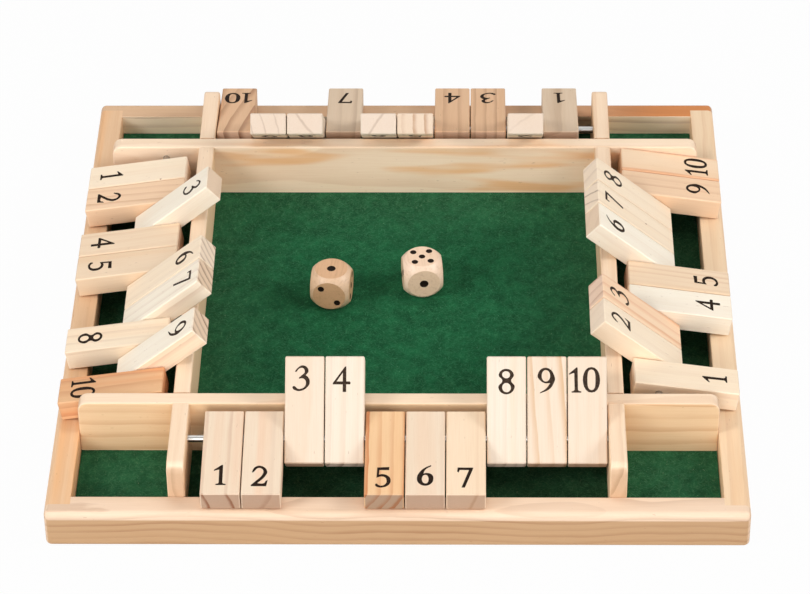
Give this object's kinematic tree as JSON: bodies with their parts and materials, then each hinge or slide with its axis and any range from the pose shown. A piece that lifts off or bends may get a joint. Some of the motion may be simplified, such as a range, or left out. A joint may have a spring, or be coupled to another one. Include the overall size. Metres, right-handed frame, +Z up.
{
  "type": "four-sided flip-tile dice game",
  "caption": "Square pine tray with a felt playing field, and a rod of numbered wooden tiles along each side that flip up one by one as dice are rolled.",
  "frame": {"origin": "centre of the underside, on the table", "axes": "+Z up, the front rail towards -Y, +X to the right of the front player"},
  "size_m": [0.3, 0.3, 0.055],
  "materials": {
    "frame_pine": "smooth sanded pine",
    "tile_pine": "smooth sanded pine",
    "die_wood": "polished hardwood",
    "plywood": "raw plywood",
    "felt": "green felt",
    "steel": "bright drawn rod"
  },
  "bodies": {
    "tray": {"rail_front": "frame_pine", "rail_back": "frame_pine", "rail_left": "frame_pine", "rail_right": "frame_pine", "base_panel": "plywood", "felt_sheet": "felt", "divider_front": "frame_pine", "divider_back": "frame_pine", "divider_left": "frame_pine", "divider_right": "frame_pine", "rod_front": "steel", "rod_right": "steel", "rod_back": "steel", "rod_left": "steel"},
    "tile_front_01": {"tile_front_01": "tile_pine"},
    "tile_front_02": {"tile_front_02": "tile_pine"},
    "tile_front_03": {"tile_front_03": "tile_pine"},
    "tile_front_04": {"tile_front_04": "tile_pine"},
    "tile_front_05": {"tile_front_05": "tile_pine"},
    "tile_front_06": {"tile_front_06": "tile_pine"},
    "tile_front_07": {"tile_front_07": "tile_pine"},
    "tile_front_08": {"tile_front_08": "tile_pine"},
    "tile_front_09": {"tile_front_09": "tile_pine"},
    "tile_front_10": {"tile_front_10": "tile_pine"},
    "tile_right_01": {"tile_right_01": "tile_pine"},
    "tile_right_02": {"tile_right_02": "tile_pine"},
    "tile_right_03": {"tile_right_03": "tile_pine"},
    "tile_right_04": {"tile_right_04": "tile_pine"},
    "tile_right_05": {"tile_right_05": "tile_pine"},
    "tile_right_06": {"tile_right_06": "tile_pine"},
    "tile_right_07": {"tile_right_07": "tile_pine"},
    "tile_right_08": {"tile_right_08": "tile_pine"},
    "tile_right_09": {"tile_right_09": "tile_pine"},
    "tile_right_10": {"tile_right_10": "tile_pine"},
    "tile_back_01": {"tile_back_01": "tile_pine"},
    "tile_back_02": {"tile_back_02": "tile_pine"},
    "tile_back_03": {"tile_back_03": "tile_pine"},
    "tile_back_04": {"tile_back_04": "tile_pine"},
    "tile_back_05": {"tile_back_05": "tile_pine"},
    "tile_back_06": {"tile_back_06": "tile_pine"},
    "tile_back_07": {"tile_back_07": "tile_pine"},
    "tile_back_08": {"tile_back_08": "tile_pine"},
    "tile_back_09": {"tile_back_09": "tile_pine"},
    "tile_back_10": {"tile_back_10": "tile_pine"},
    "tile_left_01": {"tile_left_01": "tile_pine"},
    "tile_left_02": {"tile_left_02": "tile_pine"},
    "tile_left_03": {"tile_left_03": "tile_pine"},
    "tile_left_04": {"tile_left_04": "tile_pine"},
    "tile_left_05": {"tile_left_05": "tile_pine"},
    "tile_left_06": {"tile_left_06": "tile_pine"},
    "tile_left_07": {"tile_left_07": "tile_pine"},
    "tile_left_08": {"tile_left_08": "tile_pine"},
    "tile_left_09": {"tile_left_09": "tile_pine"},
    "tile_left_10": {"tile_left_10": "tile_pine"},
    "die_left": {"die_left": "die_wood"},
    "die_right": {"die_right": "die_wood"}
  },
  "joints": [
    {"name": "tile_front_01_flip", "type": "hinge", "parent": "tray", "child": "tile_front_01", "pos_m": [-0.07469, -0.11335, 0.0288], "axis": [-1, 0, 0], "range_deg": [0, 148.36]},
    {"name": "tile_front_02_flip", "type": "hinge", "parent": "tray", "child": "tile_front_02", "pos_m": [-0.05735, -0.11335, 0.0288], "axis": [-1, 0, 0], "range_deg": [0, 148.36]},
    {"name": "tile_front_03_flip", "type": "hinge", "parent": "tray", "child": "tile_front_03", "pos_m": [-0.04002, -0.11335, 0.0288], "axis": [-1, 0, 0], "range_deg": [-148.36, 0]},
    {"name": "tile_front_04_flip", "type": "hinge", "parent": "tray", "child": "tile_front_04", "pos_m": [-0.02268, -0.11335, 0.0288], "axis": [-1, 0, 0], "range_deg": [-148.36, 0]},
    {"name": "tile_front_05_flip", "type": "hinge", "parent": "tray", "child": "tile_front_05", "pos_m": [-0.00534, -0.11335, 0.0288], "axis": [-1, 0, 0], "range_deg": [0, 148.36]},
    {"name": "tile_front_06_flip", "type": "hinge", "parent": "tray", "child": "tile_front_06", "pos_m": [0.012, -0.11335, 0.0288], "axis": [-1, 0, 0], "range_deg": [0, 148.36]},
    {"name": "tile_front_07_flip", "type": "hinge", "parent": "tray", "child": "tile_front_07", "pos_m": [0.02934, -0.11335, 0.0288], "axis": [-1, 0, 0], "range_deg": [0, 148.36]},
    {"name": "tile_front_08_flip", "type": "hinge", "parent": "tray", "child": "tile_front_08", "pos_m": [0.04668, -0.11335, 0.0288], "axis": [-1, 0, 0], "range_deg": [-148.36, 0]},
    {"name": "tile_front_09_flip", "type": "hinge", "parent": "tray", "child": "tile_front_09", "pos_m": [0.06402, -0.11335, 0.0288], "axis": [-1, 0, 0], "range_deg": [-148.36, 0]},
    {"name": "tile_front_10_flip", "type": "hinge", "parent": "tray", "child": "tile_front_10", "pos_m": [0.08136, -0.11335, 0.0288], "axis": [-1, 0, 0], "range_deg": [-148.36, 0]},
    {"name": "tile_right_01_flip", "type": "hinge", "parent": "tray", "child": "tile_right_01", "pos_m": [0.11335, -0.07469, 0.0288], "axis": [0, -1, 0], "range_deg": [0, 148.36]},
    {"name": "tile_right_02_flip", "type": "hinge", "parent": "tray", "child": "tile_right_02", "pos_m": [0.11335, -0.05735, 0.0288], "axis": [0, -1, 0], "range_deg": [-148.36, 0]},
    {"name": "tile_right_03_flip", "type": "hinge", "parent": "tray", "child": "tile_right_03", "pos_m": [0.11335, -0.04002, 0.0288], "axis": [0, -1, 0], "range_deg": [-148.36, 0]},
    {"name": "tile_right_04_flip", "type": "hinge", "parent": "tray", "child": "tile_right_04", "pos_m": [0.11335, -0.02268, 0.0288], "axis": [0, -1, 0], "range_deg": [0, 148.36]},
    {"name": "tile_right_05_flip", "type": "hinge", "parent": "tray", "child": "tile_right_05", "pos_m": [0.11335, -0.00534, 0.0288], "axis": [0, -1, 0], "range_deg": [0, 148.36]},
    {"name": "tile_right_06_flip", "type": "hinge", "parent": "tray", "child": "tile_right_06", "pos_m": [0.11335, 0.012, 0.0288], "axis": [0, -1, 0], "range_deg": [-148.36, 0]},
    {"name": "tile_right_07_flip", "type": "hinge", "parent": "tray", "child": "tile_right_07", "pos_m": [0.11335, 0.02934, 0.0288], "axis": [0, -1, 0], "range_deg": [-148.36, 0]},
    {"name": "tile_right_08_flip", "type": "hinge", "parent": "tray", "child": "tile_right_08", "pos_m": [0.11335, 0.04668, 0.0288], "axis": [0, -1, 0], "range_deg": [-148.36, 0]},
    {"name": "tile_right_09_flip", "type": "hinge", "parent": "tray", "child": "tile_right_09", "pos_m": [0.11335, 0.06402, 0.0288], "axis": [0, -1, 0], "range_deg": [0, 148.36]},
    {"name": "tile_right_10_flip", "type": "hinge", "parent": "tray", "child": "tile_right_10", "pos_m": [0.11335, 0.08136, 0.0288], "axis": [0, -1, 0], "range_deg": [0, 148.36]},
    {"name": "tile_back_01_flip", "type": "hinge", "parent": "tray", "child": "tile_back_01", "pos_m": [0.07469, 0.11335, 0.0288], "axis": [1, 0, 0], "range_deg": [0, 148.36]},
    {"name": "tile_back_02_flip", "type": "hinge", "parent": "tray", "child": "tile_back_02", "pos_m": [0.05735, 0.11335, 0.0288], "axis": [1, 0, 0], "range_deg": [-148.36, 0]},
    {"name": "tile_back_03_flip", "type": "hinge", "parent": "tray", "child": "tile_back_03", "pos_m": [0.04002, 0.11335, 0.0288], "axis": [1, 0, 0], "range_deg": [0, 148.36]},
    {"name": "tile_back_04_flip", "type": "hinge", "parent": "tray", "child": "tile_back_04", "pos_m": [0.02268, 0.11335, 0.0288], "axis": [1, 0, 0], "range_deg": [0, 148.36]},
    {"name": "tile_back_05_flip", "type": "hinge", "parent": "tray", "child": "tile_back_05", "pos_m": [0.00534, 0.11335, 0.0288], "axis": [1, 0, 0], "range_deg": [-148.36, 0]},
    {"name": "tile_back_06_flip", "type": "hinge", "parent": "tray", "child": "tile_back_06", "pos_m": [-0.012, 0.11335, 0.0288], "axis": [1, 0, 0], "range_deg": [-148.36, 0]},
    {"name": "tile_back_07_flip", "type": "hinge", "parent": "tray", "child": "tile_back_07", "pos_m": [-0.02934, 0.11335, 0.0288], "axis": [1, 0, 0], "range_deg": [0, 148.36]},
    {"name": "tile_back_08_flip", "type": "hinge", "parent": "tray", "child": "tile_back_08", "pos_m": [-0.04668, 0.11335, 0.0288], "axis": [1, 0, 0], "range_deg": [-148.36, 0]},
    {"name": "tile_back_09_flip", "type": "hinge", "parent": "tray", "child": "tile_back_09", "pos_m": [-0.06402, 0.11335, 0.0288], "axis": [1, 0, 0], "range_deg": [-148.36, 0]},
    {"name": "tile_back_10_flip", "type": "hinge", "parent": "tray", "child": "tile_back_10", "pos_m": [-0.08136, 0.11335, 0.0288], "axis": [1, 0, 0], "range_deg": [0, 148.36]},
    {"name": "tile_left_01_flip", "type": "hinge", "parent": "tray", "child": "tile_left_01", "pos_m": [-0.11335, 0.07469, 0.0288], "axis": [0, 1, 0], "range_deg": [0, 148.36]},
    {"name": "tile_left_02_flip", "type": "hinge", "parent": "tray", "child": "tile_left_02", "pos_m": [-0.11335, 0.05735, 0.0288], "axis": [0, 1, 0], "range_deg": [0, 148.36]},
    {"name": "tile_left_03_flip", "type": "hinge", "parent": "tray", "child": "tile_left_03", "pos_m": [-0.11335, 0.04002, 0.0288], "axis": [0, 1, 0], "range_deg": [-148.36, 0]},
    {"name": "tile_left_04_flip", "type": "hinge", "parent": "tray", "child": "tile_left_04", "pos_m": [-0.11335, 0.02268, 0.0288], "axis": [0, 1, 0], "range_deg": [0, 148.36]},
    {"name": "tile_left_05_flip", "type": "hinge", "parent": "tray", "child": "tile_left_05", "pos_m": [-0.11335, 0.00534, 0.0288], "axis": [0, 1, 0], "range_deg": [0, 148.36]},
    {"name": "tile_left_06_flip", "type": "hinge", "parent": "tray", "child": "tile_left_06", "pos_m": [-0.11335, -0.012, 0.0288], "axis": [0, 1, 0], "range_deg": [-148.36, 0]},
    {"name": "tile_left_07_flip", "type": "hinge", "parent": "tray", "child": "tile_left_07", "pos_m": [-0.11335, -0.02934, 0.0288], "axis": [0, 1, 0], "range_deg": [-148.36, 0]},
    {"name": "tile_left_08_flip", "type": "hinge", "parent": "tray", "child": "tile_left_08", "pos_m": [-0.11335, -0.04668, 0.0288], "axis": [0, 1, 0], "range_deg": [0, 148.36]},
    {"name": "tile_left_09_flip", "type": "hinge", "parent": "tray", "child": "tile_left_09", "pos_m": [-0.11335, -0.06402, 0.0288], "axis": [0, 1, 0], "range_deg": [-148.36, 0]},
    {"name": "tile_left_10_flip", "type": "hinge", "parent": "tray", "child": "tile_left_10", "pos_m": [-0.11335, -0.08136, 0.0288], "axis": [0, 1, 0], "range_deg": [0, 148.36]},
    {"name": "die_left_lift", "type": "slide", "parent": "tray", "child": "die_left", "axis": [0, 0, 1], "range_m": [0, 0.06]},
    {"name": "die_right_lift", "type": "slide", "parent": "tray", "child": "die_right", "axis": [0, 0, 1], "range_m": [0, 0.06]}
  ]
}
